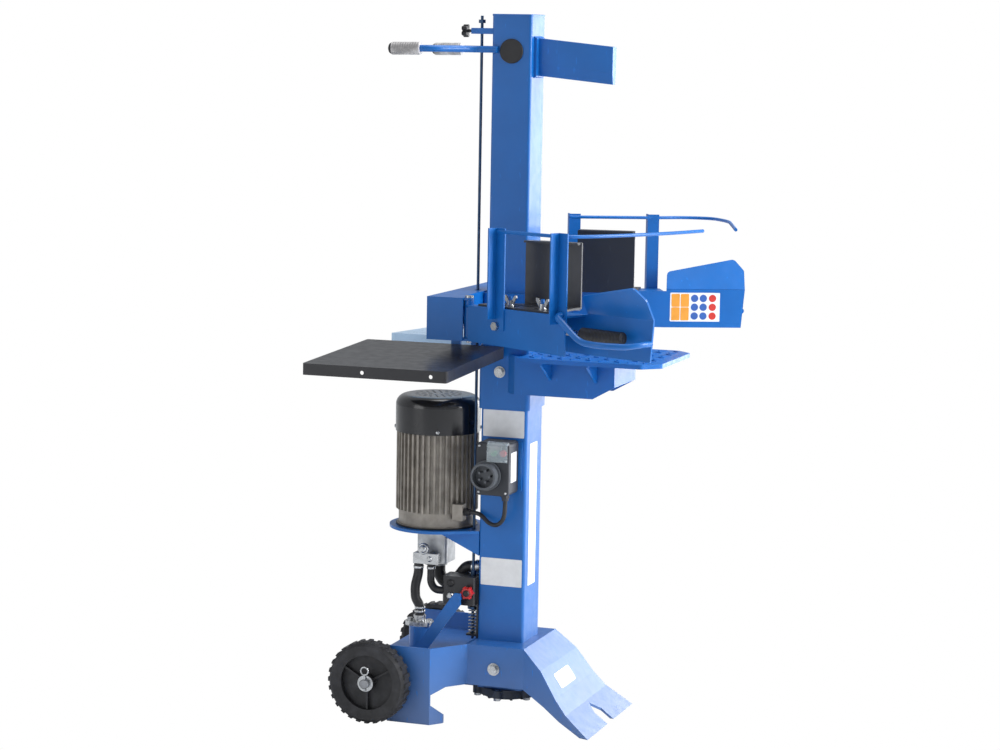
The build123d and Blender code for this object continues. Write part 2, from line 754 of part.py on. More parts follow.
arm_low = arm_top - arm_h
arm_end = arm_start + arm_len
arm_in = arm_out - arm_w
guard_tip = 458.0            # front edge of the hand guard along the arm
guard_lean = 33.0            # degrees that the upper panel of the guard leans outwards
fold_z = arm_top + 4
shaft_r = 6.0
stud_r = 4.0
stud_v = -12.0
studs_u = (103.0, 191.0)
foot_z = arm_top
jaw_foot_t = 4.0
jaw_h = 132.0
jaw_rear = (89.0, -71.0)
jaw_front = (206.0, -109.0)
jaw_t = 5.0
jaw_travel = 20.0
for name, side in SIDES:
    with BuildPart() as arm:
        with BuildSketch(arm_side(side, arm_out - arm_t / 2)):
            Polygon((arm_start, arm_low + 6), (arm_end, arm_low), (arm_end, arm_top), (arm_start, arm_top),
                    align=None)
        extrude(amount=arm_t / 2, both=True)
        with BuildSketch(arm_plan(side, arm_top - arm_t)):
            Polygon((arm_start, side * arm_in), (arm_end, side * arm_in), (arm_end, side * arm_out),
                    (arm_start, side * arm_out), align=None)
        extrude(amount=arm_t)
        with BuildSketch(arm_side(side, arm_in + arm_t / 2)):
            Polygon((arm_start, arm_low + 6), (arm_end, arm_low), (guard_tip - 7, arm_low), (guard_tip, fold_z),
                    (arm_end + 6, fold_z), (arm_end + 6, arm_top), (arm_start, arm_top), align=None)
        extrude(amount=arm_t / 2, both=True)
        # upper panel of the hand guard, folded outwards
        fold = arm_side(side, arm_in + arm_t / 2)
        lean = radians(guard_lean)
        out = Vector(0, 0, 1) * cos(lean) - fold.z_dir * side * sin(lean)
        panel = Plane(origin=arm_point(side, 0, arm_in + arm_t / 2, fold_z - 0.5), x_dir=arm_dir(side),
                      z_dir=arm_dir(side).cross(out))
        with BuildSketch(panel):
            with BuildLine():
                FilletPolyline((arm_end + 6, 0), (arm_end + 10, 42), (guard_tip - 18, 74), (guard_tip + 2, 46),
                               (guard_tip, 0), radius=10)
                Line((guard_tip, 0), (arm_end + 6, 0))
            make_face()
        extrude(amount=arm_t / 2, both=True)
        # hinge tube and its webs
        with BuildSketch(arm_plan(side, beam_low + ear_t + clear)):
            Circle(9.5)
        extrude(amount=beam_h - 2 * ear_t - 2 * clear)
        for z in (arm_top - arm_t - 1, beam_low + ear_t + clear + 2):
            with BuildSketch(arm_plan(side, z)):
                Polygon((0, side * -9), (arm_start + 6, side * -9), (arm_start + 6, side * arm_out),
                        (arm_start, side * arm_out), (0, side * 9), align=None)
            extrude(amount=arm_t)
        with BuildSketch(arm_plan(side, beam_low)):
            Circle(hinge_d / 2 + running)
        extrude(amount=beam_h, mode=Mode.SUBTRACT)
        # bearing holes of the control lever
        with BuildSketch(arm_side(side, 0)):
            with Locations((pivot_u, pivot_z)):
                Circle(shaft_r + running)
        extrude(amount=arm_w * 2, both=True, mode=Mode.SUBTRACT)
        # studs for the wing nuts
        with BuildSketch(arm_plan(side, arm_top)):
            for u in studs_u:
                with Locations((u, side * stud_v)):
                    Circle(stud_r)
        extrude(amount=24)
    save(arm, f"arm_{name}")

# Guard rail on each arm: two angle posts, the rod over them and the hoop around the lever's grip.
post_w = 25.0
post_t = 3.0
post_u = {"near": (95.0, 263.0), "far": (82.0, 253.0)}
post_low = {"near": (838.0, 864.0), "far": (862.0, 864.0)}
post_top = 1040.0
rail_r = 3.5
rail_z = 1033.0
rail_v = arm_out + post_t / 2
hoop_r = 6.0
rail_front = {"near": [at(262, -286, rail_z), at(325, -195, rail_z), at(375, -92, rail_z),
                       at(404, -14, rail_z)],
              "far": [at(262, 376, rail_z), at(322, 376, rail_z), at(378, 299, rail_z),
                      at(front_reach - 2, 57, rail_z)]}
for name, side in SIDES:
    with BuildPart() as guard_rail:
        for u, low in zip(post_u[name], post_low[name]):
            with BuildSketch(arm_plan(side, low)):
                Polygon((u, side * arm_out), (u + post_w, side * arm_out), (u + post_w, side * (arm_out + post_t)),
                        (u + post_t, side * (arm_out + post_t)), (u + post_t, side * (arm_out + post_w)),
                        (u, side * (arm_out + post_w)), align=None)
            extrude(amount=post_top - low)
        with BuildSketch(arm_side(side, arm_out)):
            with Locations((pivot_u, pivot_z)):
                Circle(15)
        extrude(amount=30, both=True, mode=Mode.SUBTRACT)
        route = [arm_point(side, post_u[name][0] + 1, rail_v, rail_z),
                 arm_point(side, post_u[name][1] + 14, rail_v, rail_z)]
        route += rail_front[name]
        with BuildLine() as rail_line:
            rail(route, arc_radii(route))
        with BuildSketch(Plane(origin=rail_line.line @ 0, z_dir=rail_line.line % 0)):
            Circle(rail_r)
        sweep()
        hoop = [arm_point(side, u, v, z) for u, v, z in
                ((post_u[name][1] + 13, arm_out + post_t - 1, 884), (post_u[name][1] + 13, 38, 880), (306, 38, 858), (340, 40, 836), (385, 40, 834),
                 (436, 14, 834), (guard_tip - 6, -8, 838), (guard_tip - 6, arm_in + arm_t, 838))]
        with BuildLine() as hoop_line:
            rail(hoop, arc_radii(hoop))
        with BuildSketch(Plane(origin=hoop_line.line @ 0, z_dir=hoop_line.line % 0)):
            Circle(hoop_r)
        sweep()
    save(guard_rail, f"guard_rail_{name}")

# Jaws: an upright plate on a slotted foot that slides along the arm under two wing nuts.
jaw_run = hypot(jaw_front[0] - jaw_rear[0], jaw_front[1] - jaw_rear[1])
jaw_turn = degrees(atan2(jaw_front[1] - jaw_rear[1], jaw_front[0] - jaw_rear[0]))
for name, side in SIDES:
    with BuildPart() as jaw:
        with BuildSketch(arm_plan(side, foot_z)):
            Polygon((38, side * 13), (240, side * 13), (jaw_front[0], side * jaw_front[1]),
                    (jaw_rear[0], side * jaw_rear[1]), (38, side * -30), align=None)
            for u in studs_u:
                with Locations((u, side * stud_v)):
                    SlotOverall(2 * (jaw_travel + stud_r + clear), 2 * (stud_r + clear), mode=Mode.SUBTRACT)
            with Locations((118, side * (stud_v - 22)), (186, side * (stud_v - 22)), (150, side * (stud_v - 40))):
                SlotOverall(56, 2 * (stud_r + clear), mode=Mode.SUBTRACT)
        extrude(amount=jaw_foot_t)
        start = arm_point(side, *jaw_rear, foot_z)
        jaw_x = arm_dir(side, splay + jaw_turn)
        face = Plane(origin=start, x_dir=jaw_x, z_dir=jaw_x.cross(Vector(0, 0, 1)))
        with BuildSketch(face):
            with BuildLine():
                FilletPolyline((0, 0), (0, jaw_h), (jaw_run, jaw_h), (jaw_run, 0), radius=3)
                Line((jaw_run, 0), (0, 0))
            make_face()
        extrude(amount=-side * jaw_t)
        with BuildSketch(Plane(origin=start + Vector(0, 0, jaw_h - 4), x_dir=jaw_x, z_dir=(0, 0, 1))):
            with Locations((jaw_run / 2, side * 9)):
                RectangleRounded(jaw_run - 4, 26, 4)
        extrude(amount=4)
    save(jaw, f"jaw_{name}")

for name, side in SIDES:
    with BuildPart() as wing_nuts:
        for u in studs_u:
            here = arm_point(side, u, stud_v, foot_z + jaw_foot_t)
            with BuildSketch(Plane(origin=here, x_dir=arm_dir(side), z_dir=(0, 0, 1))):
                Circle(9)
            extrude(amount=2)
            with BuildSketch(Plane(origin=here + Vector(0, 0, 2), x_dir=arm_dir(side), z_dir=(0, 0, 1))):
                Circle(7)
            extrude(amount=9)
            nut_side = Plane(origin=here, x_dir=arm_dir(side), z_dir=arm_dir(side).cross(Vector(0, 0, 1)))
            with BuildSketch(nut_side):
                for s in (-1, 1):
                    Polygon((s * 4, 4), (s * 4, 10), (s * 12, 21), (s * 17, 22), (s * 17, 17), (s * 9, 5),
                            align=None)
            extrude(amount=1.6, both=True)
            with BuildSketch(Plane(origin=here, x_dir=arm_dir(side), z_dir=(0, 0, 1))):
                Circle(stud_r)
            extrude(amount=20, mode=Mode.SUBTRACT)
    save(wing_nuts, f"wing_nuts_{name}")

lever_v = -12.0
lever_r = 6.0
grip_u = (297.0, 403.0)
for name, side in SIDES:
    with BuildPart() as lever:
        with BuildSketch(arm_side(side, lever_v)):
            with Locations((pivot_u, pivot_z)):
                Circle(13)
        extrude(amount=10, both=True)
        with BuildSketch(arm_side(side, (arm_out + arm_in) / 2)):
            with Locations((pivot_u, pivot_z)):
                Circle(shaft_r)
        extrude(amount=arm_w / 2 + 3, both=True)
        # hexagon ends of the cross shaft, outside both walls of the arm
        for v, way in ((arm_out + 0.3, 1), (arm_in - 0.3, -1)):
            with BuildSketch(arm_side(side, v)):
                with Locations((pivot_u, pivot_z)):
                    RegularPolygon(9, 6)
            extrude(amount=-side * way * 6)
        with BuildSketch(Plane(origin=arm_point(side, pivot_u, lever_v, pivot_z), z_dir=arm_dir(side))):
            Circle(lever_r)
        extrude(amount=grip_u[1] - pivot_u - 4)
    save(lever, f"lever_{name}")
    with BuildPart() as grip:
        with BuildSketch(Plane(origin=arm_point(side, grip_u[0], lever_v, pivot_z), z_dir=arm_dir(side))):
            Circle(13)
        extrude(amount=grip_u[1] - grip_u[0])
        fillet(grip.edges(), 2.5)
        with BuildSketch(Plane(origin=arm_point(side, grip_u[0], lever_v, pivot_z), z_dir=arm_dir(side))):
            Circle(lever_r)
        extrude(amount=grip_u[1] - grip_u[0] - 4, mode=Mode.SUBTRACT)
    save(grip, f"lever_grip_{name}")

# ================================================================ shelves
for name, side in SIDES:
    with BuildPart() as shelf:
        with BuildSketch(front_plane(shelf_rear)):
            Polygon((side * shelf_inner, shelf_z - shelf_h), (side * shelf_outer, shelf_z - shelf_h - shelf_drop),
                    (side * shelf_outer, shelf_z - shelf_drop), (side * shelf_inner, shelf_z), align=None)
        extrude(amount=shelf_front - shelf_rear)
        fillet(shelf.edges().filter_by(lambda e: abs(e.length - shelf_h) < 1), 5)
        with BuildSketch(front_plane(shelf_rear + shelf_t)):
            Polygon((side * (shelf_inner + shelf_t), shelf_z - shelf_h - 5),
                    (side * (shelf_outer - shelf_t), shelf_z - shelf_h - shelf_drop - 5),
                    (side * (shelf_outer - shelf_t), shelf_z - shelf_drop - shelf_t),
                    (side * (shelf_inner + shelf_t), shelf_z - shelf_t), align=None)
        extrude(amount=shelf_front - shelf_rear - 2 * shelf_t, mode=Mode.SUBTRACT)
        with BuildSketch(side_plane(side * shelf_outer)):
            with Locations((-173, shelf_z - shelf_drop - 12), (-29, shelf_z - shelf_drop - 12)):
                Circle(4)
        extrude(amount=30, both=True, mode=Mode.SUBTRACT)
    save(shelf, f"shelf_{name}")

# ================================================================ motor and pump
fan_cover_r = 89.5
motor_low = motor_plate_top
gland_y = -57.0              # cable gland on the motor
gland_z = 430.0
bell_h = 34.0
body_top = 590.0
fan_top = 667.0
shaft_d = 20.0
with BuildPart() as motor_body:
    with BuildSketch(level(motor_low, x=motor_x)):
        Circle(motor_r - 2)
    extrude(amount=5)
    with BuildSketch(level(motor_low + 5, x=motor_x)):
        Circle(motor_r - 6)
    extrude(amount=bell_h - 5)
    with BuildSketch(level(motor_low + bell_h, x=motor_x)):
        Circle(motor_r - 7)
        with PolarLocations(motor_r - 5.5, 44):
            Rectangle(11, 4)
    extrude(amount=body_top - motor_low - bell_h)
    with BuildSketch(level(motor_low + 8, x=motor_x)):
        Circle(motor_r - 16)
    extrude(amount=body_top - motor_low - 16, mode=Mode.SUBTRACT)
    with BuildSketch(level(motor_low, x=motor_x)):
        Circle(shaft_d / 2 + running)
    extrude(amount=body_top, mode=Mode.SUBTRACT)
    # terminal block for the cable gland, towards the column
    with BuildSketch(level(motor_low + 22, x=-93, y=gland_y)):
        Rectangle(22, 24)
    extrude(amount=34)
    with BuildSketch(level(motor_low + 8, x=motor_x)):
        Circle(motor_r - 16)
    extrude(amount=body_top - motor_low - 16, mode=Mode.SUBTRACT)
save(motor_body, "motor_body")

with BuildPart() as rotor:
    with BuildSketch(level(motor_plate_top - 20, x=motor_x)):
        Circle(shaft_d / 2)
    extrude(amount=body_top + 34 - motor_plate_top + 20)
    with BuildSketch(level(motor_low + 40, x=motor_x)):
        Circle(46)
    extrude(amount=110)
    with BuildSketch(level(body_top + 12, x=motor_x)):
        Circle(22)
        with PolarLocations(0, 7):
            with Locations((44, 0)):
                Rectangle(56, 3)
    extrude(amount=18)
    with BuildSketch(level(body_top + 9, x=motor_x)):
        Circle(74)
        Circle(shaft_d / 2, mode=Mode.SUBTRACT)
    extrude(amount=3)
save(rotor, "rotor")

with BuildPart() as stator:
    with BuildSketch(level(motor_low + 45, x=motor_x)):
        Circle(motor_r - 16)
        Circle(47, mode=Mode.SUBTRACT)
    extrude(amount=100)
save(stator, "stator")

with BuildPart() as fan_cover:
    with BuildSketch(level(body_top, x=motor_x)):
        Circle(fan_cover_r)
    extrude(amount=fan_top - body_top)
    fillet(fan_cover.edges().group_by(Axis.Z)[-1], 22)
    offset(amount=-2.5, openings=fan_cover.faces().sort_by(Axis.Z)[0])
    with BuildSketch(level(fan_top - 6, x=motor_x)):
        for ring, count in ((18, 8), (32, 14), (46, 20)):
            with PolarLocations(ring, count):
                SlotOverall(9, 4)
    extrude(amount=10, mode=Mode.SUBTRACT)
save(fan_cover, "fan_cover")

plate_r = 100.0
gusset_y = column_w / 2
with BuildPart() as motor_plate:
    with BuildSketch(level(motor_plate_top - motor_plate_t)):
        with Locations((motor_x, 0)):
            Circle(plate_r)
        Polygon((motor_x + 20, -plate_r + 2), (-column_w / 2, -gusset_y), (-column_w / 2, gusset_y),
                (motor_x + 20, plate_r - 2), align=None)
        with Locations((motor_x, 0)):
            Circle(32, mode=Mode.SUBTRACT)
        with Locations((rod_x, rod_y)):
            Circle(rod_d / 2 + 3, mode=Mode.SUBTRACT)
    extrude(amount=motor_plate_t)
    for side in (-1, 1):
        with BuildSketch(side_plane(side * gusset_y)):
            low = motor_plate_top - motor_plate_t
            Polygon((-column_w / 2, low), (-142, low), (-142, low - 4), (-column_w / 2, low - 46), align=None)
        extrude(amount=side * 5)
save(motor_plate, "motor_plate")

pump_low = 310.0
pump_w = 66.0
with BuildPart() as pump:
    with BuildSketch(level(pump_low, x=motor_x)):
        RectangleRounded(pump_w, pump_w, 9)
    extrude(amount=motor_plate_top - motor_plate_t - 6 - pump_low)
    with BuildSketch(level(motor_plate_top - motor_plate_t - 6, x=motor_x)):
        Circle(44)
    extrude(amount=6)
    with BuildSketch(level(motor_plate_top - motor_plate_t, x=motor_x)):
        Circle(31)
    extrude(amount=motor_plate_t)
    with BuildSketch(level(pump_low - 8, x=motor_x)):
        Circle(24)
    extrude(amount=8)
    with BuildSketch(level(motor_plate_top - 20.1, x=motor_x)):
        Circle(shaft_d / 2 + running)
    extrude(amount=40, mode=Mode.SUBTRACT)
save(pump, "pump")

# ---------------------------------------------------------------- valve, control rod and spring
block_low = 232.0
block_top = 292.0
block_rear = -126.0
spool_r = 6.0
spring_low = 168.0
spring_top = 220.0
spring_r = 8.0
wire_r = 1.2
with BuildPart() as valve_block:
    with BuildSketch(level(block_low)):
        Polygon((block_rear, -62), (-column_w / 2 - 4, -62), (-column_w / 2 - 4, -16), (block_rear, -16),
                align=None)
    extrude(amount=block_top - block_low)
    chamfer(valve_block.edges().filter_by(Axis.Z), 3)
    with BuildSketch(level(spring_low - 6)):
        Polygon((-column_w / 2 - 4, -48), (-column_w / 2, -48), (-column_w / 2, -16), (-column_w / 2 - 4, -16),
                align=None)
    extrude(amount=block_top - spring_low + 6)
    with BuildSketch(level(spring_low - 4, x=rod_x, y=rod_y)):
        with Locations((3, 0)):
            Rectangle(26, 24)
    extrude(amount=4)
    with BuildSketch(level(spring_low - 6, x=rod_x, y=rod_y)):
        Circle(spool_r + running)
    extrude(amount=200, mode=Mode.SUBTRACT)
save(valve_block, "valve_block")

bar_z = 832.0
with BuildPart() as control_rod:
    with BuildSketch(level(block_top + 4, x=rod_x, y=rod_y)):
        Circle(rod_d / 2)
    extrude(amount=mast_top - 4 - block_top - 4)
    with BuildSketch(level(block_low - 8, x=rod_x, y=rod_y)):
        Circle(spool_r)
    extrude(amount=block_top + 10 - block_low + 8)
    with BuildSketch(level(spring_low - 12, x=rod_x, y=rod_y)):
        Circle(rod_d / 2)
    extrude(amount=block_low - spring_low + 10)
    with BuildSketch(level(spring_top, x=rod_x, y=rod_y)):
        Circle(spring_r + 3)
    extrude(amount=5)
    # stop nut above the mast's bracket
    with BuildSketch(level(stop_z + 22, x=rod_x, y=rod_y)):
        RegularPolygon(7.5, 6)
    extrude(amount=7)
    # cross bar inside the beam, which both levers pull down
    with BuildSketch(level(bar_z)):
        with Locations((rod_x, 0)):
            Rectangle(16, 280)
    extrude(amount=10)
save(control_rod, "control_rod")

with BuildPart() as return_spring:
    with BuildLine():
        coil = Helix(pitch=(spring_top - spring_low - 2 * wire_r) / 7, height=spring_top - spring_low - 2 * wire_r,
                     radius=spring_r, center=at(rod_x, rod_y, spring_low + wire_r))
    with BuildSketch(Plane(origin=coil @ 0, z_dir=coil % 0)):
        Circle(wire_r)
    sweep(is_frenet=True)
save(return_spring, "return_spring")

with BuildPart() as valve_knob:
    with BuildSketch(side_plane(-62 - 0.3, x=-66, z=262)):
        Circle(7)
    extrude(amount=7)
    with BuildSketch(side_plane(-62 - 7.3, x=-66, z=262)):
        Circle(11.5)
        with PolarLocations(11.5, 6):
            Circle(2.5)
    extrude(amount=12)
    chamfer(valve_knob.faces().sort_by(Axis.Y)[0].edges(), 1.2)
save(valve_knob, "valve_knob")

# ---------------------------------------------------------------- hoses and their fittings
hose_top = pump_low - 8
suction = [at(-158, suction_y, hose_top), at(-158, suction_y, hose_top - 20), at(-146, suction_y, hose_top - 38),
           at(-124, suction_y, hose_top - 38), at(-109, suction_y, suction_z - 18),
           at(-95, suction_y, suction_z), at(-74, suction_y, suction_z)]
ret = [at(-186, -46, 312), at(-186, -46, 290), at(-190, -56, 262), at(-186, -62, 238), at(port_x, port_y, 224),
       at(port_x, port_y, 204)]
pressure = [at(-158, -46, 312), at(-158, -46, 292), at(-157, -50, 272), at(-146, -52, 258),
            at(block_rear, -52, 258)]
suction_hose_r = 13.0
hose_r = 10.0
for title, route, radius in (("suction", suction, suction_hose_r), ("return", ret, hose_r),
                             ("pressure", pressure, hose_r - 2)):
    print(title, "hose: radii", [round(r) for r in arc_radii(route)])
with BuildPart() as hoses:
    for route, radius in ((suction, suction_hose_r), (ret, hose_r), (pressure, hose_r - 2)):
        with BuildLine() as hose_line:
            rail(route, arc_radii(route))
        with BuildSketch(Plane(origin=hose_line.line @ 0, z_dir=hose_line.line % 0)):
            Circle(radius)
        sweep()
save(hoses, "hoses")

with BuildPart() as hose_fittings:
    # outlet block on the near face of the pump
    with BuildSketch(side_plane(-pump_w / 2, x=motor_x - 4, z=323)):
        Rectangle(54, 22)
    extrude(amount=24)
    # stub in the column for the suction hose
    with BuildSketch(front_plane(-column_w / 2, y=suction_y, z=suction_z)):
        Circle(suction_hose_r + 3)
        Circle(suction_hose_r - 3, mode=Mode.SUBTRACT)
    extrude(amount=-23.5)
    # two-bolt flange and neck on the oil port
    with BuildSketch(level(port_top, x=port_x, y=port_y)):
        SlotOverall(62, 34)
    extrude(amount=9)
    with BuildSketch(level(port_top + 9, x=port_x, y=port_y)):
        Circle(13)
    extrude(amount=13)
    for dx in (-22, 22):
        with BuildSketch(level(port_top + 9, x=port_x + dx, y=port_y)):
            RegularPolygon(6.5, 6)
        extrude(amount=5)
save(hose_fittings, "hose_fittings")

# ================================================================ switch box and motor cable
with BuildPart() as switch_box:
    with BuildSketch(side_plane(-box_y0)):
        with Locations(((box_x0 + box_x1) / 2, (box_z0 + box_z1) / 2)):
            RectangleRounded(box_x1 - box_x0, box_z1 - box_z0, 8)
    extrude(amount=box_y1 - box_y0)
    fillet(switch_box.faces().sort_by(Axis.Y)[0].edges(), 3)
    with BuildSketch(side_plane(-box_y0 - box_t)):
        with Locations(((box_x0 + box_x1) / 2, (box_z0 + box_z1) / 2)):
            RectangleRounded(box_x1 - box_x0 - 2 * box_t, box_z1 - box_z0 - 2 * box_t, 5)
    extrude(amount=box_y1 - box_y0 - 2 * box_t, mode=Mode.SUBTRACT)
    with BuildSketch(side_plane(-box_y1 + box_t + 1)):
        with Locations((inlet_x, inlet_z)):
            Circle(inlet_r - 5)
        with Locations((2, 568), (22, 568)):
            Circle(7 + 0.2)
    extrude(amount=10, mode=Mode.SUBTRACT)
    # gland under the box
    with BuildSketch(level(box_z0, x=18, y=-85)):
        RegularPolygon(9, 6)
    extrude(amount=-7)
    with BuildSketch(level(box_z0 - 7, x=18, y=-85)):
        Circle(7)
    extrude(amount=-6)
save(switch_box, "switch_box")

with BuildPart() as inlet:
    with BuildSketch(side_plane(-box_y1, x=inlet_x, z=inlet_z)):
        Circle(inlet_r + 4)
    extrude(amount=5)
    with BuildSketch(side_plane(-box_y1, x=inlet_x, z=inlet_z)):
        Circle(inlet_r)
    extrude(amount=24)
    with BuildSketch(side_plane(-box_y1 - 4, x=inlet_x, z=inlet_z)):
        Circle(inlet_r - 4)
    extrude(amount=21, mode=Mode.SUBTRACT)
    with BuildSketch(side_plane(-box_y1 + box_t + 3, x=inlet_x, z=inlet_z)):
        Circle(inlet_r - 6)
    extrude(amount=10)
    with BuildSketch(side_plane(-box_y1, x=inlet_x, z=inlet_z)):
        with PolarLocations(12, 5):
            Circle(2.4)
    extrude(amount=19)
save(inlet, "inlet")

for label, x, cap in (("start_button", 2.0, 6.0), ("stop_button", 22.0, 6.0)):
    with BuildPart() as button:
        with BuildSketch(side_plane(-box_y1 + box_t + 2, x=x, z=568)):
            Circle(7)
        extrude(amount=box_t + 2 + cap)
        chamfer(button.faces().sort_by(Axis.Y)[0].edges(), 1)
    save(button, label)

flap_pin = 3.6
flap_z = 588.5
with BuildPart() as switch_flap:
    with BuildSketch(front_plane(-10, y=-box_y1 - flap_pin, z=flap_z)):
        Circle(flap_pin - 0.4)
    extrude(amount=44)
    with BuildSketch(front_plane(-10, y=-box_y1, z=flap_z)):
        Polygon((-flap_pin, 3), (-9, 2.5), (-13, -5), (-13, -38), (-11, -38), (-11, -6), (-8, 0), (-flap_pin, 0),
                align=None)
    extrude(amount=44)
save(switch_flap, "switch_flap")

with BuildPart() as motor_gland:
    with BuildSketch(front_plane(-82, y=gland_y, z=gland_z)):
        RegularPolygon(9, 6)
    extrude(amount=7)
    with BuildSketch(front_plane(-75, y=gland_y, z=gland_z)):
        Circle(7)
    extrude(amount=6)
save(motor_gland, "motor_gland")

cable_r = 4.5
cable = [at(18, -85, box_z0 - 13), at(18, -85, box_z0 - 33), at(14, -83, box_z0 - 54), at(-1, -79, box_z0 - 68),
         at(-22, -71, box_z0 - 66), at(-38, -63, box_z0 - 54), at(-52, gland_y, gland_z),
         at(-69, gland_y, gland_z)]
print("motor cable: radii", [round(r) for r in arc_radii(cable)])
with BuildPart() as motor_cable:
    with BuildLine() as cable_line:
        rail(cable, arc_radii(cable))
    with BuildSketch(Plane(origin=cable_line.line @ 0, z_dir=cable_line.line % 0)):
        Circle(cable_r)
    sweep()
save(motor_cable, "motor_cable")
print("motor cable: length", round(sum(edge.length for edge in cable_line.edges())))
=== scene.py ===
from math import cos, pi, radians, sin

import bmesh
import bpy
from mathutils import Matrix, Vector


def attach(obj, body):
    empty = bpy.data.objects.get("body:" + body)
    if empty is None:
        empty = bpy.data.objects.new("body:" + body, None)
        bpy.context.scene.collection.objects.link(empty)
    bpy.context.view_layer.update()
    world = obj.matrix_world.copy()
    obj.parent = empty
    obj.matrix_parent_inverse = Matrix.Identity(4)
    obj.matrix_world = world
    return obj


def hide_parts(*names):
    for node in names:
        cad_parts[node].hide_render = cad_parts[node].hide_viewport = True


# Upright log splitter. X runs forward from the mast to the log, Y to the far side, Z up. Metres.
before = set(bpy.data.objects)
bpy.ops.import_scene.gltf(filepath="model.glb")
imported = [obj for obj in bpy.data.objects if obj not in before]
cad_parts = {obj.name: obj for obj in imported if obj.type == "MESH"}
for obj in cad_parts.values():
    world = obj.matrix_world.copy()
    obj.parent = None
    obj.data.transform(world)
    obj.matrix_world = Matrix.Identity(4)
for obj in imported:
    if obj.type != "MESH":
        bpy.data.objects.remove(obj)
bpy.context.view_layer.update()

MM = 0.001
COLUMN_X = -68.5 * MM          # the column's axis in the row frame
COLUMN_HALF = 50.5 * MM
SPLAY = radians(25)            # how far each arm opens
HINGE = (-28.0, 193.0)         # hinge of an arm from the column's axis
ARM_INNER = -40.5              # inner face of an arm's guard sheet, from the hinge
MOTOR_X = -164.0
LABEL_T = 0.25 * MM
CORNER_STEPS = 4               # straight pieces in a label's rounded corner


def at(x, y, z):
    """Point from the column's axis in millimetres, given in metres in the row frame."""
    return Vector((COLUMN_X + x * MM, y * MM, z * MM))


def arm_frame(side):
    """Directions along an arm and outwards from it; side is -1 for the near arm."""
    along = Vector((cos(SPLAY), side * sin(SPLAY), 0))
    outwards = Vector((-sin(SPLAY), side * cos(SPLAY), 0))
    return along, outwards


def arm_point(side, u, v, z):
    along, outwards = arm_frame(side)
    return at(HINGE[0], side * HINGE[1], z) + along * u * MM + outwards * v * MM


# ---------------------------------------------------------------- materials
def linear(r, g, b):
    """Linear colour from 8-bit display values."""
    def channel(value):
        value /= 255
        return value / 12.92 if value <= 0.04045 else ((value + 0.055) / 1.055) ** 2.4
    return (channel(r), channel(g), channel(b), 1)


def shade(color, factor):
    return tuple(min(1, c * factor) for c in color[:3]) + (1,)


class Shader:
    """A Principled material with helpers for the nodes that feed it."""

    def __init__(self, name, rough, metallic=0.0, coat=0.0, specular=0.5):
        self.material = bpy.data.materials.new(name)
        self.material.use_nodes = True
        self.tree = self.material.node_tree
        self.surface = self.tree.nodes["Principled BSDF"]
        self.surface.inputs["Metallic"].default_value = metallic
        self.surface.inputs["Coat Weight"].default_value = coat
        self.surface.inputs["Coat Roughness"].default_value = 0.15
        self.surface.inputs["Specular IOR Level"].default_value = specular
        self.rough = rough
        self.place = self.add("ShaderNodeTexCoord").outputs["Object"]

    def add(self, kind, **values):
        node = self.tree.nodes.new(kind)
        for key, value in values.items():
            setattr(node, key, value)
        return node

    def link(self, a, b):
        self.tree.links.new(a, b)

    def noise(self, scale, detail=3.0, stretch=(1, 1, 1)):
        mapping = self.add("ShaderNodeMapping")
        mapping.inputs["Scale"].default_value = stretch
        node = self.add("ShaderNodeTexNoise")
        node.inputs["Scale"].default_value = scale
        node.inputs["Detail"].default_value = detail
        self.link(self.place, mapping.inputs["Vector"])
        self.link(mapping.outputs["Vector"], node.inputs["Vector"])
        return node.outputs["Fac"]

    def steps(self, value, low, high, out_low=0.0, out_high=1.0):
        node = self.add("ShaderNodeMapRange")
        ends = (("From Min", low), ("From Max", high), ("To Min", out_low), ("To Max", out_high))
        for key, number in ends:
            node.inputs[key].default_value = number
        self.link(value, node.inputs["Value"])
        return node.outputs["Result"]

    def mix(self, factor, a, b):
        node = self.add("ShaderNodeMix", data_type="RGBA")
        self.link(factor, node.inputs["Factor"])
        for socket, value in ((node.inputs[6], a), (node.inputs[7], b)):
            if isinstance(value, tuple):
                socket.default_value = value
            else:
                self.link(value, socket)
        return node.outputs[2]

    def height(self):
        node = self.add("ShaderNodeSeparateXYZ")
        self.link(self.place, node.inputs["Vector"])
        return node.outputs["Z"]

    def finish(self, color, rough_noise, rough_spread, bumps):
        """Connects colour, roughness and a chain of bumps: (height, strength, distance) each."""
        self.link(color, self.surface.inputs["Base Color"])
        rough = self.steps(rough_noise, 0.3, 0.7, self.rough - rough_spread, self.rough + rough_spread)
        self.link(rough, self.surface.inputs["Roughness"])
        normal = None
        for height, strength, distance in bumps:
            node = self.add("ShaderNodeBump")
            node.inputs["Strength"].default_value = strength
            node.inputs["Distance"].default_value = distance
            self.link(height, node.inputs["Height"])
            if normal:
                self.link(normal, node.inputs["Normal"])
            normal = node.outputs["Normal"]
        self.link(normal, self.surface.inputs["Normal"])
        return self.material


def powder_coat(name, color, rough=0.36, wear=0.0, dust=0.12):
    """Sprayed coat with orange peel, faint clouding, dust near the ground and small scuffs."""
    m = Shader(name, rough, coat=0.1, specular=0.45)
    cloud = m.noise(9, 4)
    body = m.mix(m.steps(cloud, 0.3, 0.7), shade(color, 0.90), shade(color, 1.09))
    low = m.steps(m.height(), 0.22, 0.0, 0.0, dust)
    body = m.mix(low, body, linear(150, 148, 142))
    scuff = m.steps(m.noise(140, 6, (1, 1, 0.25)), 0.66, 0.72, 0.0, 0.5 + wear)
    body = m.mix(scuff, body, shade(color, 1.5))
    return m.finish(body, m.noise(55, 4), 0.05,
                    [(m.noise(1300, 2), 0.12, 0.0004), (m.noise(14, 2), 0.06, 0.002)])


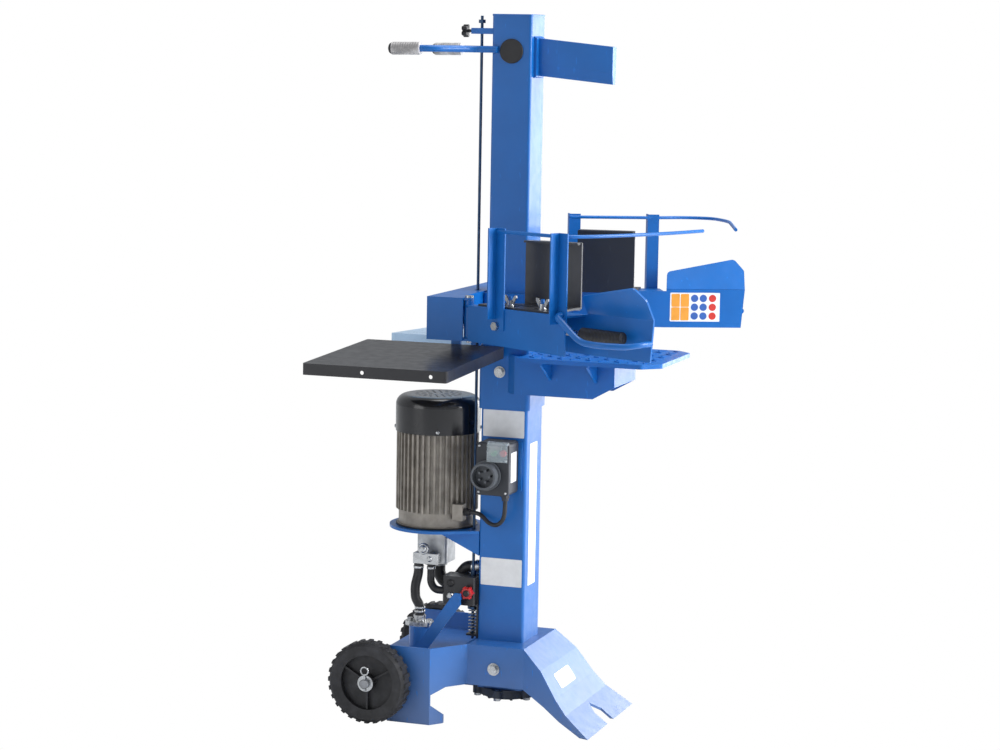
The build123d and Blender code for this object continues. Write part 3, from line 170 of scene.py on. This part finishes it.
def plated(name, color, rough=0.3, stretch=(1, 1, 1)):
    """Bare or plated metal: fine tool lines and patchy dulling."""
    m = Shader(name, rough, metallic=1.0)
    body = m.mix(m.steps(m.noise(60, 5), 0.35, 0.7), shade(color, 0.75), shade(color, 1.08))
    return m.finish(body, m.noise(220, 4, stretch), 0.09, [(m.noise(900, 3, stretch), 0.16, 0.0003)])


def casting(name, color, rough=0.62, metallic=0.0):
    m = Shader(name, rough, metallic=metallic)
    body = m.mix(m.steps(m.noise(45, 6), 0.3, 0.7), shade(color, 0.72), shade(color, 1.25))
    return m.finish(body, m.noise(80, 5), 0.08, [(m.noise(420, 5), 0.45, 0.0008)])


def moulded(name, color, rough=0.45, grain=1500, coat=0.0):
    """Moulded plastic with a fine grain and rubbed spots."""
    m = Shader(name, rough, coat=coat)
    body = m.mix(m.steps(m.noise(26, 4), 0.3, 0.7), shade(color, 0.86), shade(color, 1.16))
    rubbed = m.steps(m.noise(90, 6), 0.64, 0.74, 0.0, 0.35)
    body = m.mix(rubbed, body, shade(color, 1.9))
    return m.finish(body, m.noise(70, 4), 0.06, [(m.noise(grain, 2), 0.18, 0.0003)])


def rubber(name, color, rough=0.62, ribs=None):
    """Rubber with dust in its pores; ribs is the spacing scale and direction of moulded ribs."""
    m = Shader(name, rough)
    body = m.mix(m.steps(m.noise(35, 6), 0.45, 0.75), color, shade(color, 2.3))
    bumps = [(m.noise(750, 4), 0.3, 0.0004)]
    if ribs:
        wave = m.add("ShaderNodeTexWave", wave_type="BANDS", bands_direction=ribs[1])
        wave.inputs["Scale"].default_value = ribs[0]
        wave.inputs["Distortion"].default_value = 0.3
        m.link(m.place, wave.inputs["Vector"])
        bumps.append((wave.outputs["Fac"], 0.5, 0.0012))
    return m.finish(body, m.noise(120, 4), 0.07, bumps)


def clear_sheet(name):
    m = Shader(name, 0.16, coat=0.4)
    m.surface.inputs["Alpha"].default_value = 0.35
    body = m.mix(m.steps(m.noise(40, 4), 0.4, 0.7), linear(190, 205, 212), linear(225, 232, 236))
    return m.finish(body, m.noise(90, 4), 0.05, [(m.noise(300, 2), 0.05, 0.0003)])


def printed(name, color):
    """Vinyl label, left bare: patchy in tone, with a faint weave of scratches."""
    m = Shader(name, 0.4, coat=0.15)
    body = m.mix(m.steps(m.noise(70, 5), 0.35, 0.75), color, shade(color, 0.9))
    return m.finish(body, m.noise(130, 4), 0.05, [(m.noise(600, 3, (1, 1, 0.2)), 0.08, 0.0002)])


BLUE = linear(10, 99, 178)
blue = powder_coat("blue_coat", BLUE)
blue_low = powder_coat("blue_coat_base", BLUE, wear=0.2, dust=0.3)
pale_shelf = powder_coat("pale_shelf_coat", linear(176, 205, 232), rough=0.3)
black_coat = powder_coat("black_coat", linear(38, 38, 42), rough=0.34)
jaw_coat = powder_coat("jaw_coat", linear(46, 48, 54), rough=0.42, wear=0.3)
zinc = plated("zinc", linear(196, 198, 200), 0.3)
chrome = plated("ground_rod", linear(220, 222, 224), 0.12, (1, 1, 8))
steel = plated("machined_steel", linear(150, 152, 156), 0.36, (1, 1, 6))
bronze = plated("bronze", linear(190, 140, 80), 0.35)
copper = plated("varnished_copper", linear(176, 100, 56), 0.4)
motor_alloy = casting("motor_alloy", linear(148, 142, 134), 0.48, 0.3)
pump_alloy = casting("pump_alloy", linear(176, 178, 180), 0.42, 0.7)
dark_casting = casting("dark_casting", linear(52, 60, 74), 0.55)
black_plastic = moulded("black_plastic", linear(30, 30, 33), 0.5)
gloss_black = moulded("gloss_black", linear(24, 24, 28), 0.22, 1800, 0.5)
box_plastic = moulded("box_plastic", linear(44, 47, 54), 0.45)
grey_plastic = moulded("grey_plastic", linear(88, 92, 98), 0.42)
white_plastic = moulded("white_plastic", linear(228, 226, 218), 0.4)
red_plastic = moulded("red_plastic", linear(196, 30, 28), 0.3, 1500, 0.3)
green_plastic = moulded("green_plastic", linear(28, 140, 62), 0.3, 1500, 0.3)
grip_rubber = rubber("grip_rubber", linear(30, 30, 33), 0.55, (95, "X"))
grey_grip = rubber("grey_grip", linear(150, 148, 148), 0.4, (60, "X"))
rod_steel = plated("control_rod_steel", linear(70, 92, 122), 0.4, (1, 1, 6))
hose_rubber = rubber("hose_rubber", linear(26, 26, 29), 0.48)
seal_rubber = rubber("seal_rubber", linear(36, 36, 38), 0.5)
tyre_rubber = rubber("tyre_rubber", linear(33, 33, 36), 0.6)
clear = clear_sheet("clear_flap")
label_white = printed("label_white", linear(236, 237, 238))
label_orange = printed("label_orange", linear(236, 158, 56))
label_blue = printed("label_blue", linear(52, 98, 176))
label_red = printed("label_red", linear(206, 54, 46))

LOOKS = {
    blue: ["column", "mast", "wedge", "push_handles", "collar", "console", "table", "cross_beam", "arm_near",
           "arm_far", "guard_rail_near", "guard_rail_far", "motor_plate"],
    blue_low: ["base_frame", "front_foot"],
    pale_shelf: ["shelf_far"],
    black_coat: ["shelf_near", "valve_block"],
    jaw_coat: ["jaw_near", "jaw_far"],
    zinc: ["axle_clips", "frame_bolts", "wing_nuts_near", "wing_nuts_far", "hinge_pins", "hose_fittings",
           "lever_near", "lever_far", "return_spring"],
    chrome: ["piston_rod"],
    steel: ["axle", "rod_pin", "barrel", "piston", "rotor"],
    bronze: ["gland"],
    copper: ["stator"],
    motor_alloy: ["motor_body"],
    pump_alloy: ["pump"],
    dark_casting: ["bottom_cover"],
    black_plastic: ["pin_plugs", "stop_knob", "motor_gland"],
    box_plastic: ["switch_box"],
    gloss_black: ["fan_cover"],
    grey_plastic: ["inlet"],
    white_plastic: ["guide_pads"],
    red_plastic: ["stop_button", "valve_knob"],
    green_plastic: ["start_button"],
    grip_rubber: ["lever_grip_near", "lever_grip_far"],
    grey_grip: ["handle_grips"],
    rod_steel: ["control_rod"],
    hose_rubber: ["hoses", "motor_cable"],
    seal_rubber: ["piston_seals"],
    tyre_rubber: ["wheel_near", "wheel_far"],
    clear: ["switch_flap"],
}
for look, nodes in LOOKS.items():
    for node in nodes:
        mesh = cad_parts[node].data
        mesh.materials.clear()
        mesh.materials.append(look)


# ---------------------------------------------------------------- pieces
X, Y, Z = Vector((1, 0, 0)), Vector((0, 1, 0)), Vector((0, 0, 1))
SCREW_SIDES = 16
# Height of a screw head over its radius, ring by ring: (radius share, lift).
HEAD_RINGS = ((1.0, 0.0), (1.0, 0.25), (0.82, 0.5), (0.5, 0.66))
SOCKET_RIM, SOCKET_DEPTH = 0.18, 0.25      # shares of the head's radius
BAND_SIDES = 40
# Section of a band: (share of its thickness outwards, share of its width along the axis).
BAND_SECTION = ((0, -0.5), (0.8, -0.5), (1, -0.3), (1, 0.3), (0.8, 0.5), (0, 0.5))


def mesh_piece(name, bm, material, body):
    mesh = bpy.data.meshes.new(name)
    bm.to_mesh(mesh)
    bm.free()
    mesh.materials.append(material)
    piece = bpy.data.objects.new(name, mesh)
    bpy.context.scene.collection.objects.link(piece)
    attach(piece, body)
    return piece


def sticker(name, centre, right, up, size, material, body, corner=2.0):
    """Thin label with rounded corners. right and up lie in the face that it sticks to; size is in mm."""
    right, up = right.normalized(), up.normalized()
    out = right.cross(up)
    half_w, half_h = size[0] * MM / 2, size[1] * MM / 2
    bm = bmesh.new()
    rim = []
    for cx, cy, start in ((1, 1, 0), (-1, 1, 90), (-1, -1, 180), (1, -1, 270)):
        for step in range(CORNER_STEPS + 1):
            angle = radians(start + step * 90 / CORNER_STEPS)
            x = cx * (half_w - corner * MM) + corner * MM * cos(angle)
            y = cy * (half_h - corner * MM) + corner * MM * sin(angle)
            rim.append(bm.verts.new(centre + right * x + up * y))
    face = bm.faces.new(rim)
    lifted = bmesh.ops.extrude_face_region(bm, geom=[face])["geom"]
    moved = [v for v in lifted if isinstance(v, bmesh.types.BMVert)]
    bmesh.ops.translate(bm, verts=moved, vec=out * LABEL_T)
    bmesh.ops.recalc_face_normals(bm, faces=bm.faces)
    return mesh_piece(name, bm, material, body)


def screw(name, centre, out, radius, material, body):
    """Domed screw head with a round socket. radius is in metres."""
    turn = Z.rotation_difference(out.normalized()).to_matrix().to_4x4()
    bm = bmesh.new()
    rings = []
    for share, lift in HEAD_RINGS:
        reach = radius * share
        angles = [k * 2 * pi / SCREW_SIDES for k in range(SCREW_SIDES)]
        rings.append([bm.verts.new((reach * cos(a), reach * sin(a), radius * lift)) for a in angles])
    for low, high in zip(rings, rings[1:]):
        for k in range(SCREW_SIDES):
            after = (k + 1) % SCREW_SIDES
            bm.faces.new((low[k], low[after], high[after], high[k]))
    bm.faces.new(rings[0][::-1])
    cap = bm.faces.new(rings[-1])
    bmesh.ops.inset_individual(bm, faces=[cap], thickness=radius * SOCKET_RIM, depth=-radius * SOCKET_DEPTH)
    bmesh.ops.transform(bm, matrix=Matrix.Translation(centre) @ turn, verts=bm.verts)
    return mesh_piece(name, bm, material, body)


def ring(name, centre, axis, radius, width, thick, material, body):
    """Hose clamp or gasket: a band with bevelled edges round an axis. Sizes are in mm."""
    turn = Z.rotation_difference(axis.normalized()).to_matrix().to_4x4()
    bm = bmesh.new()
    loops = []
    for k in range(BAND_SIDES):
        angle = 2 * pi * k / BAND_SIDES
        loop = []
        for out, along in BAND_SECTION:
            reach = (radius + thick * out) * MM
            loop.append(bm.verts.new((reach * cos(angle), reach * sin(angle), width * MM * along)))
        loops.append(loop)
    for k, low in enumerate(loops):
        high = loops[(k + 1) % BAND_SIDES]
        for i in range(len(BAND_SECTION)):
            j = (i + 1) % len(BAND_SECTION)
            bm.faces.new((low[i], high[i], high[j], low[j]))
    bmesh.ops.recalc_face_normals(bm, faces=bm.faces)
    bmesh.ops.transform(bm, matrix=Matrix.Translation(centre) @ turn, verts=bm.verts)
    piece = mesh_piece(name, bm, material, body)
    for polygon in piece.data.polygons:
        polygon.use_smooth = True
    return piece


# ---------------------------------------------------------------- labels
near_face = -COLUMN_HALF / MM
sticker("label_rating", at(0, near_face, 307), X, Z, (90, 58), label_white, "root")
sticker("label_under_collar", at(0, near_face, 620), X, Z, (90, 56), label_white, "root")
sticker("label_column_front", at(COLUMN_HALF / MM, -4, 428), Y, Z, (46, 300), label_white, "root")
sticker("label_switch_side", at(34, -82, 536), Y, Z, (34, 62), label_white, "root")
FOOT_TOP, FOOT_BEND = Vector((114, 0, 122)), Vector((150, 0, 70))
slope = (FOOT_TOP - FOOT_BEND).normalized()
foot_spot = FOOT_BEND.lerp(FOOT_TOP, 0.42)
sticker("label_foot", at(foot_spot.x, -22, foot_spot.z), Y, slope, (96, 34), label_white, "root", 6.0)

# Safety label on the far guard, with plain colour fields and no signs.
guard_x, guard_out = arm_frame(1)
guard_centre = arm_point(1, 350, ARM_INNER, 846)
sticker("label_guard", guard_centre, guard_x, Z, (108, 62), label_white, "arm_far")
FIELDS = ((-42, label_orange, 2.0, 18, 28), (-22, label_orange, 2.0, 18, 28), (-1, label_blue, 8.0, 16, 16),
          (18, label_blue, 8.0, 16, 16), (38, label_red, 8.0, 16, 16))
for column, (offset, colour, corner, wide, tall) in enumerate(FIELDS):
    rows = (14.5, -14.5) if tall > wide else (19, 0, -19)
    for row, lift in enumerate(rows):
        centre = guard_centre + guard_x * offset * MM + Z * lift * MM - guard_out * LABEL_T
        sticker(f"label_field_{column}_{row}", centre, guard_x, Z, (wide, tall), colour, "arm_far", corner)


# Screws round the skirt of the fan cover.
COVER_R, COVER_SCREW_Z = 89.5, 597.0
for index in range(4):
    angle = radians(-70 + index * 90)
    spot = at(MOTOR_X + COVER_R * cos(angle), COVER_R * sin(angle), COVER_SCREW_Z)
    screw(f"cover_screw_{index}", spot, Vector((cos(angle), sin(angle), 0)), 4 * MM, zinc, "root")

# Screws at the corners of the switch box's lid.
LID_Y = -112.0
for index, (x, z) in enumerate(((-31, 485), (27, 485), (-31, 581), (27, 552))):
    screw(f"box_screw_{index}", at(x, LID_Y, z), -Y, 2.6 * MM, zinc, "root")

# Clamps where the hoses meet their fittings, and the dark gasket under the motor.
CLAMPS = (("return_low", at(-176, -62, 212), Z, 10), ("return_low_2", at(-176, -62, 220), Z, 10),
          ("return_top", at(-186, -46, 303), Z, 10), ("pressure_top", at(-158, -46, 303), Z, 8),
          ("suction_end", at(-80, 3, 302), X, 13))
for name, centre, axis, radius in CLAMPS:
    ring(f"clamp_{name}", centre, axis, radius, 5, 1.2, zinc, "root")
ring("motor_gasket", at(MOTOR_X, 0, 392), Z, 83.5, 4, 3, black_plastic, "root")

# Banjo fitting beside the pump, with its bolt, and the plugs of the valve block.
ring("banjo_ring", at(-170, -60, 345), Y, 7, 11, 5, zinc, "root")
screw("banjo_bolt", at(-170, -65.6, 345), -Y, 8 * MM, zinc, "root")
screw("outlet_bolt", at(-158, -57, 323), -Y, 6 * MM, zinc, "root")
screw("valve_plug_low", at(-108, -62, 250), -Y, 8 * MM, zinc, "root")
screw("valve_plug_high", at(-108, -62, 277), -Y, 8 * MM, black_plastic, "root")
screw("knob_cap", at(-66, -81.3, 262), -Y, 7 * MM, black_plastic, "valve_knob")
# Black end caps on the transport handles' grips.
for name, side in (("near", -1), ("far", 1)):
    tip = at(-228, side * 124.2, 1387)
    screw(f"grip_cap_{name}", tip, -X, 11.5 * MM, black_plastic, "mast")

# ---------------------------------------------------------------- motor cable
CABLE_D = 9.0
BOX_LOW = 478.0
GLAND_Y, GLAND_Z = -57.0, 430.0
CABLE = [at(18, -85, BOX_LOW - 13), at(18, -85, BOX_LOW - 33), at(14, -83, BOX_LOW - 54),
         at(-1, -79, BOX_LOW - 68), at(-22, -71, BOX_LOW - 66), at(-38, -63, BOX_LOW - 54),
         at(-52, GLAND_Y, GLAND_Z), at(-69, GLAND_Y, GLAND_Z)]
cable_data = bpy.data.curves.new("motor_cable_lay", "CURVE")
cable_data.dimensions = "3D"
cable_data.bevel_depth = CABLE_D * MM / 2
cable_data.bevel_resolution = 6
cable_data.resolution_u = 16
cable_data.use_fill_caps = True
line = cable_data.splines.new("NURBS")
line.points.add(len(CABLE) - 1)
for point, place in zip(line.points, CABLE):
    point.co = (*place, 1)
line.order_u = 3
line.use_endpoint_u = True
cable_data.materials.append(hose_rubber)
cable = bpy.data.objects.new("motor_cable_lay", cable_data)
bpy.context.scene.collection.objects.link(cable)
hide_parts("motor_cable")
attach(cable, "root")

# ---------------------------------------------------------------- floor, light and camera
floor_mesh = bpy.data.meshes.new("floor")
bm = bmesh.new()
bmesh.ops.create_grid(bm, x_segments=2, y_segments=2, size=30)
bm.to_mesh(floor_mesh)
bm.free()
floor = bpy.data.objects.new("floor", floor_mesh)
bpy.context.scene.collection.objects.link(floor)
paper = bpy.data.materials.new("paper")
paper.use_nodes = True
tree = paper.node_tree
path = tree.nodes.new("ShaderNodeLightPath")
glow = tree.nodes.new("ShaderNodeEmission")
glow.inputs["Color"].default_value = (1, 1, 1, 1)
glow.inputs["Strength"].default_value = 1.0
blend = tree.nodes.new("ShaderNodeMixShader")
matt = tree.nodes["Principled BSDF"]
matt.inputs["Base Color"].default_value = (0.86, 0.87, 0.88, 1)
matt.inputs["Roughness"].default_value = 0.9
tree.links.new(path.outputs["Is Camera Ray"], blend.inputs["Fac"])
tree.links.new(matt.outputs[0], blend.inputs[1])
tree.links.new(glow.outputs[0], blend.inputs[2])
tree.links.new(blend.outputs[0], tree.nodes["Material Output"].inputs["Surface"])
floor_mesh.materials.append(paper)

world = bpy.data.worlds.new("studio")
bpy.context.scene.world = world
world.use_nodes = True
tree = world.node_tree
backdrop = tree.nodes["Background"]
backdrop.inputs["Color"].default_value = (1, 1, 1, 1)
backdrop.inputs["Strength"].default_value = 1.0
room = tree.nodes.new("ShaderNodeBackground")
room.inputs["Color"].default_value = (0.93, 0.96, 1, 1)
room.inputs["Strength"].default_value = 0.46
path = tree.nodes.new("ShaderNodeLightPath")
blend = tree.nodes.new("ShaderNodeMixShader")
tree.links.new(path.outputs["Is Camera Ray"], blend.inputs["Fac"])
tree.links.new(room.outputs[0], blend.inputs[1])
tree.links.new(backdrop.outputs[0], blend.inputs[2])
tree.links.new(blend.outputs[0], tree.nodes["World Output"].inputs["Surface"])


def softbox(name, place, aim, size, power):
    lamp = bpy.data.lights.new(name, "AREA")
    lamp.shape = "RECTANGLE"
    lamp.size, lamp.size_y = size
    lamp.energy = power
    holder = bpy.data.objects.new(name, lamp)
    bpy.context.scene.collection.objects.link(holder)
    holder.location = place
    holder.rotation_euler = (Vector(aim) - Vector(place)).to_track_quat("-Z", "Y").to_euler()


softbox("key_right", (3.4, 0.2, 2.0), (0, 0, 0.7), (1.6, 2.4), 170)
softbox("back_right", (1.9, 4.4, 1.2), (0, 0, 0.7), (3.2, 3.0), 120)
softbox("top", (0.4, 0.6, 4.2), (0, 0, 0.6), (2.4, 2.4), 85)
softbox("fill_left", (-2.4, -3.4, 1.5), (0, 0, 0.7), (2.0, 2.4), 26)

# The camera looks from in front of the near side, a little above the machine.
CAMERA_PLACE = at(1735.74, -5036.03, 1390.26)
LENS, SENSOR = 92.8, 36.0
YAW, PITCH, ROLL = radians(19.3), radians(7.22), radians(-0.99)
level_right = Vector((cos(YAW), sin(YAW), 0))
sight = Vector((-sin(YAW) * cos(PITCH), cos(YAW) * cos(PITCH), -sin(PITCH)))
level_up = level_right.cross(sight)
camera_right = level_right * cos(ROLL) - level_up * sin(ROLL)
camera_up = level_up * cos(ROLL) + level_right * sin(ROLL)
camera_data = bpy.data.cameras.new("camera")
camera_data.sensor_width = SENSOR
camera_data.lens = LENS
camera = bpy.data.objects.new("camera", camera_data)
bpy.context.scene.collection.objects.link(camera)
turn = Matrix((camera_right, camera_up, -sight)).transposed().to_4x4()
camera.matrix_world = Matrix.Translation(CAMERA_PLACE) @ turn
bpy.context.scene.camera = camera
bpy.context.scene.view_settings.view_transform = "Standard"
